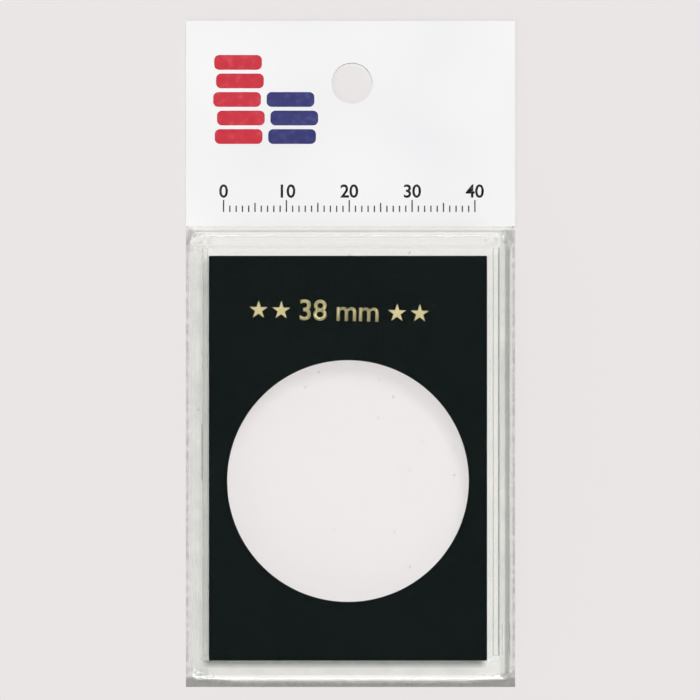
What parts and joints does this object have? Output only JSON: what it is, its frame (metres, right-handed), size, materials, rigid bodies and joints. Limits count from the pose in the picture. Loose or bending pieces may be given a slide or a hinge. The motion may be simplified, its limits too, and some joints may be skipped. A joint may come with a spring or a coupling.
{
  "type": "coin holder",
  "caption": "Clear snap-together coin holder with a black insert and a round coin hole, packed in a clear film hang bag with a white header.",
  "frame": {"origin": "centre of the pack's back face, which lies on the table", "axes": "+X across the pack, +Y up to the header with the hang hole, +Z out of the front"},
  "size_m": [0.0524, 0.106, 0.0072],
  "materials": {
    "clear_plastic": "clear polished moulding",
    "black_plastic": "satin",
    "clear_film": "clear film",
    "white_header": "half gloss",
    "gold_foil": "hot stamped foil",
    "header_ink": "printed"
  },
  "bodies": {
    "bag": {"bag_back_film": "clear_film", "bag_front_film": "clear_film", "header_panel": "white_header"},
    "tray": {"back_tray": "clear_plastic"},
    "cover": {"front_cover": "clear_plastic"},
    "insert": {"coin_insert": "black_plastic"}
  },
  "joints": [
    {"name": "holder_slide", "type": "slide", "parent": "bag", "child": "tray", "axis": [0, 1, 0], "range_m": [0, 0.075]},
    {"name": "cover_lift", "type": "slide", "parent": "tray", "child": "cover", "axis": [0, 0, 1], "range_m": [0, 0.022], "deforming": ["bag_front_film"]},
    {"name": "insert_lift", "type": "slide", "parent": "tray", "child": "insert", "axis": [0, 0, 1], "range_m": [0, 0.011]}
  ],
  "couplings": [
    {"joint": "insert_lift", "follows": "cover_lift", "ratio": 0.5}
  ]
}
